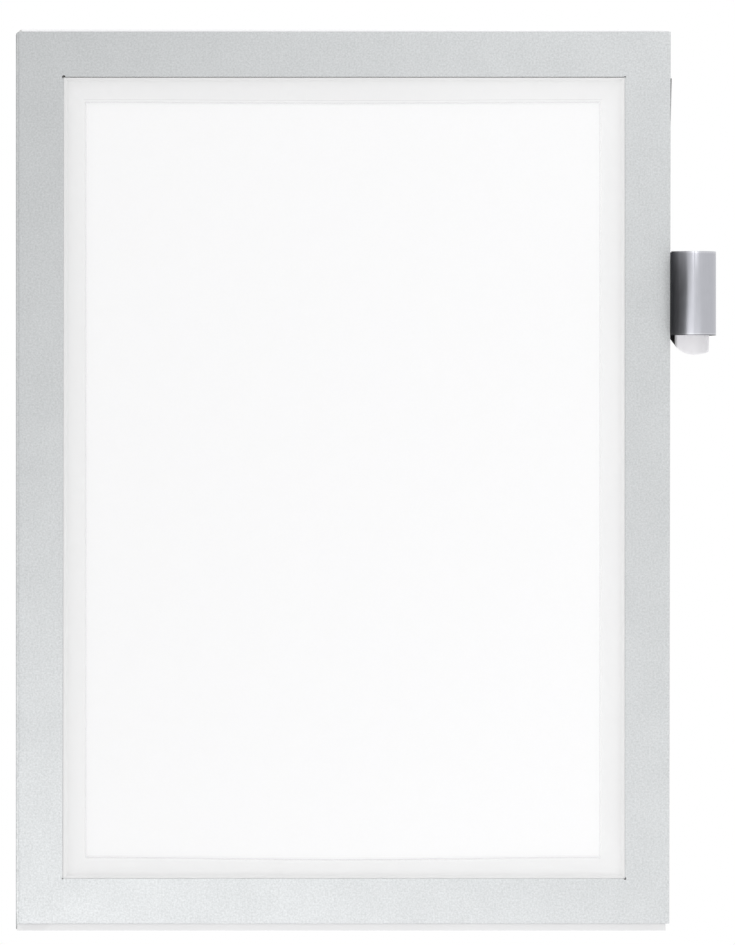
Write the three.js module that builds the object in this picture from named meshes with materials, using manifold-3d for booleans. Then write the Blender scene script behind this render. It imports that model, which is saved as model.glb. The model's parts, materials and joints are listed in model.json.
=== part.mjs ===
// Magnetic document frame for one A4 sheet, with a pen sleeve on its right edge.
// Millimetres. X runs to the right, Z up, and the front faces -Y.
// The origin is the middle of the frame's outline on the wall, which is the plane y = 0.
import * as THREE from 'three';
import { mergeVertices } from 'three/addons/utils/BufferGeometryUtils.js';
import Module from 'manifold-3d';

const wasm = await Module();
wasm.setup();

// Document, how far the border laps it on each side, and the outline that follows
const sheetWidth = 210;
const sheetHeight = 297;
const sheetLap = 3.85;
const borderWidth = 16.3;
const rearLipTop = 0.9;
const rearLipBottom = 2.2;
const coverHide = 0.6;
const gripOverhang = 1.5;
const rearCornerRadius = 1.2;
const cornerReliefRadius = 0.45;

// Layers, from the wall to the front
const adhesiveThickness = 0.8;
const panelThickness = 0.5;
const rearMagnetThickness = 0.7;
const coverThickness = 0.25;
const sheetThickness = 0.1;
const frontMagnetThickness = 0.65;
const filmThickness = 0.25;
const glueLine = 0.05;
const sheetClearance = 0.1;

// Cut-out in the clear film, through which the document is written on
const filmMarginLeft = 7.9;
const filmMarginRight = 8.9;
const filmMarginTop = 9.1;
const filmMarginBottom = 7.1;
const filmInset = 1;

// Magnet strips and the backing board between them
const magnetInset = 0.4;
const magnetSetback = 0.1;
const magnetPeek = 0.2;
const layGap = 0.3;

// Film hinge along the left edge
const frontLeg = 9;
const rearLeg = 5;
const creaseGap = 0.1;

// Adhesive strips on the back
const adhesiveWidth = 12;
const adhesiveInset = 2.5;
const adhesiveGap = 2;
const adhesiveCornerRadius = 1.5;

// Pen sleeve: a rolled steel spring whose tail is bonded under the back panel. Past its front the roll
// flattens into a flank, which stops at the frame's edge. Angles are measured from straight ahead.
const sleeveRadius = 8.1;
const sleeveWall = 0.4;
const sleeveHeight = 30.2;
const sleeveDrop = 79.5;
const sleeveSideGap = 0.3;
const flankRadius = 20;
const flankStart = THREE.MathUtils.degToRad(25);
const flankEnd = THREE.MathUtils.degToRad(40);
const tailReach = 13.5;
const padThickness = 0.2;
const padMargin = 1;
const padDrop = 0.8;
const padEarWidth = 2.2;
const padEarDrop = 3.7;

// Pen liner: a roll of white plastic inside the sleeve, with a rounded tongue below it
const linerWall = 0.5;
const linerGap = 0.1;
const linerRecess = 0.5;
const linerSlot = THREE.MathUtils.degToRad(30);
const tongueDrop = 6.8;
const tongueRadius = 9.4;
const tongueOffset = 0.7;
const tongueReachLeft = 6.4;
const tongueReachRight = 6.1;

// Facets on round stretches, and how far a cutting shape runs past what it cuts
const cornerSteps = 4;
const foldSteps = 6;
const rollSteps = 32;
const flankSteps = 6;
const cutMargin = 1;

// Depths of the layers, measured from the wall
const panelBack = adhesiveThickness + glueLine;
const panelFront = panelBack + panelThickness;
const rearMagnetBack = panelFront + glueLine;
const rearCoverBack = rearMagnetBack + rearMagnetThickness + glueLine;
const rearFace = rearCoverBack + coverThickness;
const sheetBack = rearFace + sheetClearance;
const frontMagnetBack = sheetBack + sheetThickness + sheetClearance;
const filmBack = frontMagnetBack + frontMagnetThickness + glueLine;
const filmFront = filmBack + filmThickness;
const frontCoverBack = filmFront + glueLine;

// Film hinge: its crease lies midway between the two leaves of the frame
const hingeDepth = (rearFace + frontMagnetBack) / 2;
const frontFold = filmFront - hingeDepth;
const rearFold = hingeDepth - rearMagnetBack;

// Edges of the two leaves, the window and the cut-out, seen from the front
const frameWidth = frontFold + sheetWidth - 2 * sheetLap + 2 * borderWidth;
const frontHeight = sheetHeight - 2 * sheetLap + 2 * borderWidth;
const frameHeight = rearLipBottom + frontHeight + rearLipTop;
const left = -frameWidth / 2;
const right = frameWidth / 2;
const bottom = -frameHeight / 2;
const top = frameHeight / 2;
const front = { left: left + frontFold, right, bottom: bottom + rearLipBottom, top: top - rearLipTop };
const rear = { left: left + rearFold, right: right - gripOverhang, bottom, top };
const opening = inset(front, borderWidth);
const cutOut = {
  left: opening.left + filmMarginLeft,
  right: opening.right - filmMarginRight,
  bottom: opening.bottom + filmMarginBottom,
  top: opening.top - filmMarginTop,
};

// Pen sleeve's axis, ends and tail, and the centre that its flank bends round
const flankBehind = flankRadius - sleeveRadius;
const flankReach = flankRadius * Math.sin(flankEnd) - flankBehind * Math.sin(flankStart);
const sleeveX = right + sleeveSideGap + flankReach;
const sleeveTop = front.top - sleeveDrop;
const sleeveBottom = sleeveTop - sleeveHeight;
const tailBack = panelBack - glueLine - padThickness - glueLine - sleeveWall;
const sleeveY = -(tailBack + sleeveRadius);
const tailLeft = rear.right - tailReach;
const flankX = sleeveX + flankBehind * Math.sin(flankStart);
const flankY = sleeveY + flankBehind * Math.cos(flankStart);

// Edges moved in by one distance all round
function inset(edges, by) {
  return {
    left: edges.left + by,
    right: edges.right - by,
    bottom: edges.bottom + by,
    top: edges.top - by,
  };
}

// A rectangle whose corners are arcs: rounded off, or relieved by a round nick outside each corner
function rectangle(edges, radius, relieved = false) {
  const shape = new THREE.Shape();
  const corners = [
    [edges.right, edges.bottom, -1, 1],
    [edges.right, edges.top, -1, -1],
    [edges.left, edges.top, 1, -1],
    [edges.left, edges.bottom, 1, 1],
  ];
  corners.forEach(([x, y, inwardX, inwardY], index) => {
    const arrival = index * Math.PI / 2;
    if (relieved) {
      shape.absarc(x, y, radius, arrival + Math.PI, arrival + Math.PI * 2.5, false);
    } else if (radius > 0) {
      const centreX = x + inwardX * radius;
      const centreY = y + inwardY * radius;
      shape.absarc(centreX, centreY, radius, arrival - Math.PI / 2, arrival, false);
    } else if (index > 0) {
      shape.lineTo(x, y);
    } else {
      shape.moveTo(x, y);
    }
  });
  shape.closePath();
  return shape;
}

// A stretch of pipe wall seen along its axis, from one angle round to another
function pipeSector(x, y, innerRadius, outerRadius, from, to) {
  const shape = new THREE.Shape();
  shape.absarc(x, y, outerRadius, from, to, false);
  shape.absarc(x, y, innerRadius, to, from, true);
  shape.closePath();
  return shape;
}

function extrude(shape, length, steps) {
  return new THREE.ExtrudeGeometry(shape, {
    depth: length,
    bevelEnabled: false,
    curveSegments: steps,
  });
}

// Closed geometry to a solid that can be cut, and back
function toSolid(geometry) {
  const bare = geometry.clone();
  bare.deleteAttribute('normal');
  bare.deleteAttribute('uv');
  const merged = mergeVertices(bare);
  return new wasm.Manifold(new wasm.Mesh({
    numProp: 3,
    vertProperties: new Float32Array(merged.attributes.position.array),
    triVerts: new Uint32Array(merged.index.array),
  }));
}

function toGeometry(solid) {
  const mesh = solid.getMesh();
  const geometry = new THREE.BufferGeometry();
  geometry.setAttribute('position', new THREE.BufferAttribute(mesh.vertProperties, 3));
  geometry.setIndex(new THREE.BufferAttribute(mesh.triVerts, 1));
  geometry.computeVertexNormals();
  return geometry;
}

// The frame, and the group that stands its front-view outlines upright against the wall
const documentFrame = new THREE.Group();
const facing = new THREE.Group();
facing.rotation.x = Math.PI / 2;
documentFrame.add(facing);

function finish(color, roughness, metalness = 0) {
  return new THREE.MeshStandardMaterial({ color, roughness, metalness });
}

const silverFilm = () => finish(0xd3d5d7, 0.42, 0.55);
const whitePlastic = () => finish(0xf4f4f4, 0.5);
const magneticRubber = () => finish(0x2e2b29, 0.8);
const foamTape = () => finish(0xe6e5e0, 0.7);
const blackFoam = () => finish(0x1a1a1b, 0.9);
const springSteel = () => finish(0xb4b5ba, 0.28, 1);
const paper = () => finish(0xfafafa, 0.85);
const clearFilm = () => Object.assign(finish(0xffffff, 0.12), { transparent: true, opacity: 0.15 });

// A flat piece drawn from the front, with its depth measured from the wall
function addPlate(name, shape, back, thickness, material) {
  const mesh = new THREE.Mesh(extrude(shape, thickness, cornerSteps), material);
  mesh.name = name;
  mesh.position.z = back;
  facing.add(mesh);
}

// An upright piece drawn from above
function addUpright(name, geometry, low, material) {
  const mesh = new THREE.Mesh(geometry, material);
  mesh.name = name;
  mesh.position.z = low;
  documentFrame.add(mesh);
}

// Four strips of magnet round the window, the long pair fitted between the short pair
function addMagnets(leaf, outer, inner, back, thickness) {
  const between = { bottom: inner.bottom + layGap, top: inner.top - layGap };
  const strips = {
    top: { ...outer, bottom: inner.top },
    bottom: { ...outer, top: inner.bottom },
    left: { ...outer, ...between, right: inner.left },
    right: { ...outer, ...between, left: inner.right },
  };
  for (const [side, edges] of Object.entries(strips)) {
    addPlate(`${leaf}_magnet_${side}`, rectangle(edges, 0), back, thickness, magneticRubber());
  }
}

// One leaf of the film hinge: a leg bonded in the frame and a quarter fold out to the crease
function hingeLeaf(edge, fold, leg, side) {
  const y = -hingeDepth;
  const start = side * Math.PI / 2;
  const end = side * (Math.PI - Math.asin(creaseGap / 2 / fold));
  const shape = new THREE.Shape();
  shape.moveTo(edge + leg, y + side * fold);
  shape.absarc(edge, y, fold, start, end, side < 0);
  shape.absarc(edge, y, fold - filmThickness, end, start, side > 0);
  shape.lineTo(edge + leg, y + side * (fold - filmThickness));
  shape.closePath();
  return shape;
}

// Adhesive strips on the back, parted on the right to leave room for the pen sleeve's tail
const taped = inset(rear, adhesiveInset);
const tapedBetween = {
  bottom: taped.bottom + adhesiveWidth + adhesiveGap,
  top: taped.top - adhesiveWidth - adhesiveGap,
};
const rightTape = { ...taped, ...tapedBetween, left: taped.right - adhesiveWidth };
const adhesiveStrips = {
  top: { ...taped, bottom: taped.top - adhesiveWidth },
  bottom: { ...taped, top: taped.bottom + adhesiveWidth },
  left: { ...taped, ...tapedBetween, right: taped.left + adhesiveWidth },
  right_upper: { ...rightTape, bottom: sleeveTop + adhesiveGap },
  right_lower: { ...rightTape, top: sleeveBottom - adhesiveGap },
};
for (const [side, edges] of Object.entries(adhesiveStrips)) {
  const strip = rectangle(edges, adhesiveCornerRadius);
  addPlate(`adhesive_strip_${side}`, strip, 0, adhesiveThickness, foamTape());
}

// Rear leaf: white panel, magnets, backing board and silver border, which the front hides above and below
const rearOutline = rectangle(rear, rearCornerRadius);
addPlate('back_panel', rearOutline, panelBack, panelThickness, whitePlastic());
const covered = { ...rear, bottom: front.bottom + coverHide, top: front.top - coverHide };
const rearMagnetOuter = { ...inset(covered, magnetInset), left: rear.left + rearLeg + layGap };
const rearMagnetInner = inset(opening, -magnetSetback);
addMagnets('rear', rearMagnetOuter, rearMagnetInner, rearMagnetBack, rearMagnetThickness);
const boardThickness = rearFace - rearMagnetBack;
const boardOutline = rectangle(inset(opening, layGap), 0);
addPlate('backing_board', boardOutline, rearMagnetBack, boardThickness, whitePlastic());
const rearBorder = rectangle(covered, rearCornerRadius);
rearBorder.holes.push(rectangle(opening, 0));
addPlate('rear_border', rearBorder, rearCoverBack, coverThickness, silverFilm());

// Document, lapped by the border on all sides, between the two leaves
const sheetOutline = rectangle(inset(opening, -sheetLap), 0);
addPlate('document_sheet', sheetOutline, sheetBack, sheetThickness, paper());

// Front leaf: magnets, of which the top one peeks into the window, clear film and silver border
const frontMagnetOuter = inset(front, magnetInset);
const frontMagnetInner = { ...inset(opening, -magnetSetback), top: opening.top - magnetPeek };
addMagnets('front', frontMagnetOuter, frontMagnetInner, frontMagnetBack, frontMagnetThickness);
const filmEdges = { ...inset(front, filmInset), left: front.left + frontLeg + layGap };
const windowFilm = rectangle(filmEdges, 0);
windowFilm.holes.push(rectangle(cutOut, 0));
addPlate('window_film', windowFilm, filmBack, filmThickness, clearFilm());
const frontBorder = rectangle(front, 0);
frontBorder.holes.push(rectangle(opening, cornerReliefRadius, true));
addPlate('front_border', frontBorder, frontCoverBack, coverThickness, silverFilm());

// Film hinge, creased down the left edge
const frontLeaf = extrude(hingeLeaf(front.left, frontFold, frontLeg, -1), frontHeight, foldSteps);
addUpright('hinge_leaf_front', frontLeaf, front.bottom, silverFilm());
const rearLeafHeight = front.top - rear.bottom;
const rearLeaf = extrude(hingeLeaf(rear.left, rearFold, rearLeg, 1), rearLeafHeight, foldSteps);
addUpright('hinge_leaf_rear', rearLeaf, rear.bottom, silverFilm());

// Pen sleeve: the tail runs right to the roll's back, and the roll turns forwards and round to its flank
function sleeveSide(depth) {
  const rollStart = Math.PI / 2;
  const rollEnd = -Math.PI / 2 - flankStart;
  const freeEnd = -Math.PI / 2 - flankEnd;
  const rollRadius = sleeveRadius - depth;
  const bendRadius = flankRadius - depth;
  const roll = new THREE.EllipseCurve(sleeveX, sleeveY, rollRadius, rollRadius, rollStart, rollEnd, true);
  const flank = new THREE.EllipseCurve(flankX, flankY, bendRadius, bendRadius, rollEnd, freeEnd, true);
  const tailTip = new THREE.Vector2(tailLeft, sleeveY + rollRadius);
  return [tailTip, ...roll.getPoints(rollSteps), ...flank.getPoints(flankSteps).slice(1)];
}
const sleeveProfile = new THREE.Shape([...sleeveSide(0), ...sleeveSide(sleeveWall).reverse()]);
addUpright('pen_sleeve', extrude(sleeveProfile, sleeveHeight, rollSteps), sleeveBottom, springSteel());

// Pad that bonds the sleeve's tail to the back panel; its pointed ear shows below the sleeve
const padLeft = tailLeft + padMargin;
const padRight = right + padEarWidth;
const padTop = sleeveTop - padMargin;
const padBottom = sleeveBottom - padDrop;
const padOutline = new THREE.Shape();
padOutline.moveTo(padLeft, padBottom);
padOutline.lineTo(right, padBottom);
padOutline.lineTo(padRight, sleeveBottom - padEarDrop);
padOutline.lineTo(padRight, padTop);
padOutline.lineTo(padLeft, padTop);
padOutline.closePath();
addPlate('pen_sleeve_pad', padOutline, tailBack + sleeveWall + glueLine, padThickness, blackFoam());

// Pen liner: the roll is cut away below the sleeve, except for the tongue at the back
const linerOuter = sleeveRadius - sleeveWall - linerGap;
const linerInner = linerOuter - linerWall;
const linerTop = sleeveTop - linerRecess;
const tongueBottom = sleeveBottom - tongueDrop;
const tongueStart = Math.acos(tongueReachRight / linerOuter);
const tongueEnd = Math.PI - Math.acos(tongueReachLeft / linerOuter);
const linerRoll = pipeSector(sleeveX, sleeveY, linerInner, linerOuter, linerSlot - Math.PI, Math.PI);
const rollGeometry = extrude(linerRoll, linerTop - tongueBottom, rollSteps);
rollGeometry.translate(0, 0, tongueBottom);

const besideTongue = pipeSector(
  sleeveX,
  sleeveY,
  linerInner - cutMargin,
  linerOuter + cutMargin,
  tongueEnd - 2 * Math.PI,
  tongueStart,
);
const cutHeight = sleeveBottom + linerRecess - tongueBottom + cutMargin;
const besideTongueGeometry = extrude(besideTongue, cutHeight, rollSteps);
besideTongueGeometry.translate(0, 0, tongueBottom - cutMargin);

const tongueX = sleeveX + tongueOffset;
const tongueZ = tongueBottom + tongueRadius;
const tongueOutline = new THREE.Shape();
tongueOutline.absarc(tongueX, tongueZ, tongueRadius, -Math.PI, 0, false);
tongueOutline.lineTo(tongueX + tongueRadius, linerTop + cutMargin);
tongueOutline.lineTo(tongueX - tongueRadius, linerTop + cutMargin);
tongueOutline.closePath();
const tongueGeometry = extrude(tongueOutline, 2 * (linerOuter + cutMargin), rollSteps);
tongueGeometry.rotateX(Math.PI / 2);
tongueGeometry.translate(0, sleeveY + linerOuter + cutMargin, 0);

const liner = toSolid(rollGeometry)
  .subtract(toSolid(besideTongueGeometry))
  .intersect(toSolid(tongueGeometry));
addUpright('pen_liner', toGeometry(liner), 0, whitePlastic());

export default documentFrame;
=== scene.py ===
"""Looks of a magnetic document frame for one A4 sheet, with a pen sleeve on its right edge."""
import json
import math

import bmesh
import bpy
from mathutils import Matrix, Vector


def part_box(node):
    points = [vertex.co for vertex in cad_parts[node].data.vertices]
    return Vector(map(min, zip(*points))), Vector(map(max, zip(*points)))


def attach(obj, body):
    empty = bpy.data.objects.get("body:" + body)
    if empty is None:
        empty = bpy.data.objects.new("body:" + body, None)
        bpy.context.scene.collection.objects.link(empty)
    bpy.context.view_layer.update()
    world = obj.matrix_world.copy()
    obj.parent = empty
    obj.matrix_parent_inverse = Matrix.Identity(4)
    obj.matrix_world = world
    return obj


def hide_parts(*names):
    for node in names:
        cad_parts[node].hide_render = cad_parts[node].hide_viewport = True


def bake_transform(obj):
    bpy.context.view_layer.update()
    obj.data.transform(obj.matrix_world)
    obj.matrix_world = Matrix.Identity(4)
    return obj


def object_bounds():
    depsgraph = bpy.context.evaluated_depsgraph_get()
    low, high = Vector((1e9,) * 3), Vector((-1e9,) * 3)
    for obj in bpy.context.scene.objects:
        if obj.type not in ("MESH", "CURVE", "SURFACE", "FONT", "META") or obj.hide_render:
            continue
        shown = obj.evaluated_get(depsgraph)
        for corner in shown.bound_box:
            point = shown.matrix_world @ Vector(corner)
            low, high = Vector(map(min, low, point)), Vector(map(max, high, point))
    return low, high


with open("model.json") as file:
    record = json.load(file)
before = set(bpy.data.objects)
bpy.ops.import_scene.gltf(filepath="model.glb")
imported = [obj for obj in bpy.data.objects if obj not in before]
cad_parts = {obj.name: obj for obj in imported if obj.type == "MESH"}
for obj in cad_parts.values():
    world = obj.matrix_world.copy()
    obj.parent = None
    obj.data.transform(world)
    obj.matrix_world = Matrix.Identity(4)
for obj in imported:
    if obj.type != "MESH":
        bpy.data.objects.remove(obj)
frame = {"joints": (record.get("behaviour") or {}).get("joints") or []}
cad_low, cad_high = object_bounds()

# Adhesive strips: five lengths of white foam tape on the back, their corners rounded by the cutter.
# They hold the frame to the wall, and the right-hand run is parted for the pen sleeve's tail.
MM = 0.001
TAPE_CORNER = 1.5 * MM
TAPE_EDGE = 0.15 * MM
TAPE_CELL = 0.7 * MM
CORNER_STEPS = 6
SHARP_ARRIS = math.radians(50)
FLAT_FACE = 0.9995


def linear(hex_colour):
    """An sRGB hex colour as linear RGBA."""
    channels = [int(hex_colour[i:i + 2], 16) / 255 for i in (1, 3, 5)]
    return [c / 12.92 if c <= 0.04045 else ((c + 0.055) / 1.055) ** 2.4 for c in channels] + [1]


def add_node(tree, kind, inputs=None, **settings):
    """Adds a node. An input takes a value, an output socket to link from, or a tuple of those sockets."""
    node = tree.nodes.new(kind)
    for name, value in settings.items():
        setattr(node, name, value)
    for key, value in (inputs or {}).items():
        sources = value if isinstance(value, tuple) else (value,)
        if isinstance(sources[0], bpy.types.NodeSocket):
            for source in sources:
                tree.links.new(source, node.inputs[key])
        else:
            node.inputs[key].default_value = value
    return node


def start_material(name):
    """An empty material, its node tree, and the Object coordinates that its patterns read."""
    material = bpy.data.materials.new(name)
    material.use_nodes = True
    tree = material.node_tree
    tree.nodes.clear()
    return material, tree, add_node(tree, "ShaderNodeTexCoord").outputs["Object"]


def end_material(tree, inputs):
    """Closes a material's tree with its surface shader."""
    shader = add_node(tree, "ShaderNodeBsdfPrincipled", inputs)
    add_node(tree, "ShaderNodeOutputMaterial", {"Surface": shader.outputs["BSDF"]})


def foam_tape():
    """Polyethylene foam tape: off-white and matt, with the shallow pits of its cells in the sticky face."""
    material, tree, coords = start_material("polyethylene_foam_tape")
    cells = add_node(tree, "ShaderNodeTexVoronoi", {"Vector": coords, "Scale": 1 / TAPE_CELL})
    pit = cells.outputs["Distance"]
    shade = add_node(tree, "ShaderNodeMix", {
        0: pit,
        6: linear("#F0EEE8"),
        7: linear("#DEDBD3"),
    }, data_type="RGBA")
    relief = add_node(tree, "ShaderNodeBump", {"Height": pit, "Distance": 0.08 * MM, "Strength": 0.6})
    end_material(tree, {
        "Base Color": shade.outputs[2],
        "Roughness": 0.62,
        "Normal": relief.outputs["Normal"],
    })
    return material


def cut_sheet_tree():
    """Node tree of a flat piece cut from sheet: a round-cornered rectangle raised to its thickness."""
    tree = bpy.data.node_groups.new("cut_sheet", "GeometryNodeTree")
    sockets = {
        "Width": "NodeSocketFloat",
        "Height": "NodeSocketFloat",
        "Thickness": "NodeSocketFloat",
        "Corner Radius": "NodeSocketFloat",
        "Place": "NodeSocketVector",
        "Material": "NodeSocketMaterial",
    }
    for name, kind in sockets.items():
        tree.interface.new_socket(name, in_out="INPUT", socket_type=kind)
    tree.interface.new_socket("Geometry", in_out="OUTPUT", socket_type="NodeSocketGeometry")
    given = add_node(tree, "NodeGroupInput").outputs
    outline = add_node(tree, "GeometryNodeCurvePrimitiveQuadrilateral", {
        "Width": given["Width"],
        "Height": given["Height"],
    })
    rounded = add_node(tree, "GeometryNodeFilletCurve", {
        "Curve": outline.outputs["Curve"],
        "Radius": given["Corner Radius"],
        "Count": CORNER_STEPS,
    }, mode="POLY")
    face = add_node(tree, "GeometryNodeFillCurve", {"Curve": rounded.outputs["Curve"]}, mode="NGONS")
    raised = add_node(tree, "GeometryNodeExtrudeMesh", {
        "Mesh": face.outputs["Mesh"],
        "Offset Scale": given["Thickness"],
        "Individual": False,
    })
    under = add_node(tree, "GeometryNodeFlipFaces", {"Mesh": face.outputs["Mesh"]})
    both = add_node(tree, "GeometryNodeJoinGeometry", {
        "Geometry": (raised.outputs["Mesh"], under.outputs["Mesh"]),
    })
    closed = add_node(tree, "GeometryNodeMergeByDistance", {
        "Geometry": both.outputs["Geometry"],
        "Distance": 0.001 * MM,
    })
    upright = add_node(tree, "GeometryNodeTransform", {
        "Geometry": closed.outputs["Geometry"],
        "Translation": given["Place"],
        "Rotation": (math.pi / 2, 0, 0),
    })
    real = add_node(tree, "GeometryNodeRealizeInstances", {"Geometry": upright.outputs["Geometry"]})
    dressed = add_node(tree, "GeometryNodeSetMaterial", {
        "Geometry": real.outputs["Geometry"],
        "Material": given["Material"],
    })
    add_node(tree, "NodeGroupOutput", {"Geometry": dressed.outputs["Geometry"]})
    return tree


def new_piece(name, mesh=None):
    """A piece at the origin, its place in its mesh."""
    piece = bpy.data.objects.new(name, mesh or bpy.data.meshes.new(name))
    bpy.context.scene.collection.objects.link(piece)
    return piece


def give_nodes(piece, tree, values):
    """Hangs a node tree on a piece, with its inputs set by their sockets' identifiers."""
    modifier = piece.modifiers.new(tree.name, "NODES")
    modifier.node_group = tree
    for socket in tree.interface.items_tree:
        if socket.in_out == "INPUT":
            modifier[socket.identifier] = values[socket.name]


def ease_edges(piece, width, steps=2):
    """Rounds a piece's arrises."""
    bevel = piece.modifiers.new("eased", "BEVEL")
    bevel.width = width
    bevel.segments = steps
    bevel.limit_method = "ANGLE"
    bevel.angle_limit = SHARP_ARRIS


def settle(piece):
    """Turns a piece's modifiers into a plain mesh: flat on its flat faces, smooth round the rest."""
    graph = bpy.context.evaluated_depsgraph_get()
    mesh = bpy.data.meshes.new_from_object(piece.evaluated_get(graph))
    piece.modifiers.clear()
    piece.data = mesh
    for face in mesh.polygons:
        face.use_smooth = max(abs(part) for part in face.normal) < FLAT_FACE
    return piece


def cut_sheet(node, corner, edge, material):
    """A sheet that fills a node's box, with its corners rounded and its arrises eased."""
    low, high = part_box(node)
    piece = new_piece(node + "_sheet")
    give_nodes(piece, SHEET_TREE, {
        "Width": high.x - low.x,
        "Height": high.z - low.z,
        "Thickness": high.y - low.y,
        "Corner Radius": corner,
        "Place": ((low.x + high.x) / 2, high.y, (low.z + high.z) / 2),
        "Material": material,
    })
    ease_edges(piece, edge)
    return settle(piece)


def fit(piece, body, slot, *nodes):
    """Puts a piece on its body, in place of the solids that it stands for."""
    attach(piece, body)
    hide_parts(*nodes)


SHEET_TREE = cut_sheet_tree()
FOAM_TAPE = foam_tape()
for side in ("top", "bottom", "left", "right_upper", "right_lower"):
    strip_node = "adhesive_strip_" + side
    tape = cut_sheet(strip_node, TAPE_CORNER, TAPE_EDGE, FOAM_TAPE)
    fit(tape, "rear_leaf", "foam_tape", strip_node)

# Back panel: a stiff white PVC sheet that the tape sticks to and that carries the rear leaf. It is die cut
# with small round corners, and stands out above and below the front border, behind the clear film's rim.
PANEL_CORNER = 0.7 * MM
PANEL_EDGE = 0.08 * MM
PVC_GRAIN = 0.5 * MM


def white_pvc():
    """Calendered PVC sheet: white and satin, with the faint sand grain of the roller."""
    material, tree, coords = start_material("calendered_white_pvc")
    grain = add_node(tree, "ShaderNodeTexNoise", {"Vector": coords, "Scale": 1 / PVC_GRAIN, "Detail": 3})
    shade = add_node(tree, "ShaderNodeMix", {
        0: grain.outputs["Fac"],
        6: linear("#F6F6F5"),
        7: linear("#EFEFEE"),
    }, data_type="RGBA")
    relief = add_node(tree, "ShaderNodeBump", {
        "Height": grain.outputs["Fac"],
        "Distance": 0.02 * MM,
        "Strength": 0.5,
    })
    end_material(tree, {
        "Base Color": shade.outputs[2],
        "Roughness": 0.45,
        "Normal": relief.outputs["Normal"],
    })
    return material


WHITE_PVC = white_pvc()
panel = cut_sheet("back_panel", PANEL_CORNER, PANEL_EDGE, WHITE_PVC)
fit(panel, "rear_leaf", "white_plastic", "back_panel")

# Rear magnets: four strips of dark ferrite-filled rubber on the panel, round the backing board.
# They are slit from a calendered band, so fine rolling lines run along each strip.
MAGNET_CORNER = 0.3 * MM
MAGNET_EDGE = 0.08 * MM
MAGNET_LINE_LENGTH = 25 * MM
MAGNET_LINE_WIDTH = 0.6 * MM
MAGNET_SPECK = 0.35 * MM


def magnetic_rubber(name, lines):
    """Ferrite-filled rubber: brown-black and matt, with rolling lines and pale specks of filler."""
    material, tree, coords = start_material(name)
    drawn = add_node(tree, "ShaderNodeMapping", {"Vector": coords, "Scale": lines})
    rolling = add_node(tree, "ShaderNodeTexNoise", {
        "Vector": drawn.outputs["Vector"],
        "Scale": 1,
        "Detail": 3,
    })
    specks = add_node(tree, "ShaderNodeTexVoronoi", {"Vector": coords, "Scale": 1 / MAGNET_SPECK})
    streaked = add_node(tree, "ShaderNodeMix", {
        0: rolling.outputs["Fac"],
        6: linear("#24211F"),
        7: linear("#3A3633"),
    }, data_type="RGBA")
    speck_share = add_node(tree, "ShaderNodeMapRange", {
        "Value": specks.outputs["Distance"],
        "From Min": 0.0,
        "From Max": 0.25,
        "To Min": 0.35,
        "To Max": 0.0,
    })
    specked = add_node(tree, "ShaderNodeMix", {
        0: speck_share.outputs["Result"],
        6: streaked.outputs[2],
        7: linear("#5C5752"),
    }, data_type="RGBA")
    relief = add_node(tree, "ShaderNodeBump", {
        "Height": rolling.outputs["Fac"],
        "Distance": 0.03 * MM,
        "Strength": 0.5,
    })
    end_material(tree, {
        "Base Color": specked.outputs[2],
        "Roughness": 0.72,
        "Normal": relief.outputs["Normal"],
    })
    return material


LEVEL_LINES = (1 / MAGNET_LINE_LENGTH, 1 / MAGNET_LINE_WIDTH, 1 / MAGNET_LINE_WIDTH)
UPRIGHT_LINES = (1 / MAGNET_LINE_WIDTH, 1 / MAGNET_LINE_WIDTH, 1 / MAGNET_LINE_LENGTH)
LEVEL_RUBBER = magnetic_rubber("ferrite_rubber_level", LEVEL_LINES)
UPRIGHT_RUBBER = magnetic_rubber("ferrite_rubber_upright", UPRIGHT_LINES)
MAGNET_SIDES = {
    "top": LEVEL_RUBBER,
    "bottom": LEVEL_RUBBER,
    "left": UPRIGHT_RUBBER,
    "right": UPRIGHT_RUBBER,
}


def lay_magnets(leaf, sides):
    """Magnet strips laid straight along some sides of a leaf."""
    for side in sides:
        node = f"{leaf}_magnet_{side}"
        strip = cut_sheet(node, MAGNET_CORNER, MAGNET_EDGE, MAGNET_SIDES[side])
        fit(strip, leaf + "_leaf", "magnetic_rubber", node)


lay_magnets("rear", MAGNET_SIDES)

# Backing board: a white board that fills the space between the rear magnets and backs the document.
# It is cut from the same PVC as the panel and glued to it.
BOARD_CORNER = 0.3 * MM
BOARD_EDGE = 0.1 * MM

board = cut_sheet("backing_board", BOARD_CORNER, BOARD_EDGE, WHITE_PVC)
fit(board, "rear_leaf", "white_plastic", "backing_board")

# Rear border: silver film over the rear magnets, with a window for the backing board. It is kiss cut
# and laminated on, and stops short of the panel's upper and lower edges.
COVER_EDGE = 0.06 * MM
FLAKE_CLUSTER = 0.65 * MM
FILM_CLOUD = 14 * MM


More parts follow.
